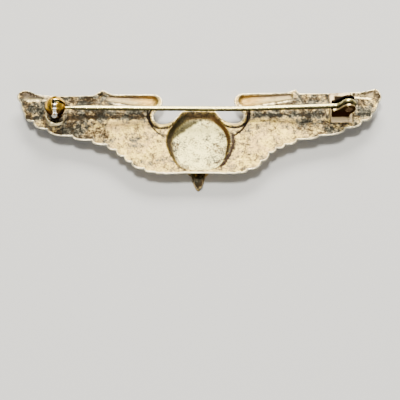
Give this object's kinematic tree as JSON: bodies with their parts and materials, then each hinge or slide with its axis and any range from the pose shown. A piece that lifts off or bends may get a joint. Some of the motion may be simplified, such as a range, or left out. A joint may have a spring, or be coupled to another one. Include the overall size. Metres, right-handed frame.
{
  "type": "pilot wings pin",
  "caption": "Struck metal wings badge with a central shield, pinned by a hinged wire stem that locks in a rotating ball catch on its back.",
  "frame": {"origin": "bottom centre of the badge's box, with the badge lying face down on the front of its shield", "axes": "+X from the catch to the hinge, +Y to the wings' top edge, +Z out of the badge's back"},
  "size_m": [0.0762, 0.023, 0.0088],
  "materials": {
    "wing_silver": "struck silver, tarnished grey and brown, worn bright on its edges",
    "shield_silver": "struck silver with dark tarnish in its recesses",
    "patch_silver": "dull tarnished silver",
    "solder": "bright silver solder, lumpy",
    "hinge_brass": "dark oxidised brass with worn edges",
    "rivet_brass": "dark oxidised brass",
    "stem_nickel": "polished nickel silver wire",
    "catch_brass": "polished brass, browned low down",
    "rotor_nickel": "bright nickel plate"
  },
  "bodies": {
    "badge": {"wing_plate": "wing_silver", "shield": "shield_silver", "hinge_patch": "patch_silver", "hinge_solder": "solder", "hinge_bracket": "hinge_brass", "hinge_rivet": "rivet_brass", "catch_patch": "patch_silver", "catch_solder": "solder", "catch_housing": "catch_brass"},
    "stem": {"pin_stem": "stem_nickel"},
    "rotor": {"catch_rotor": "rotor_nickel"}
  },
  "joints": [
    {"name": "stem_swing", "type": "hinge", "parent": "badge", "child": "stem", "pos_m": [0.0305, 0.00507, 0.0065], "axis": [0, 1, 0], "range_deg": [0, 105]},
    {"name": "catch_turn", "type": "hinge", "parent": "badge", "child": "rotor", "pos_m": [-0.02955, 0.00507, 0.00675], "axis": [-1, 0, 0], "range_deg": [0, 100]}
  ]
}
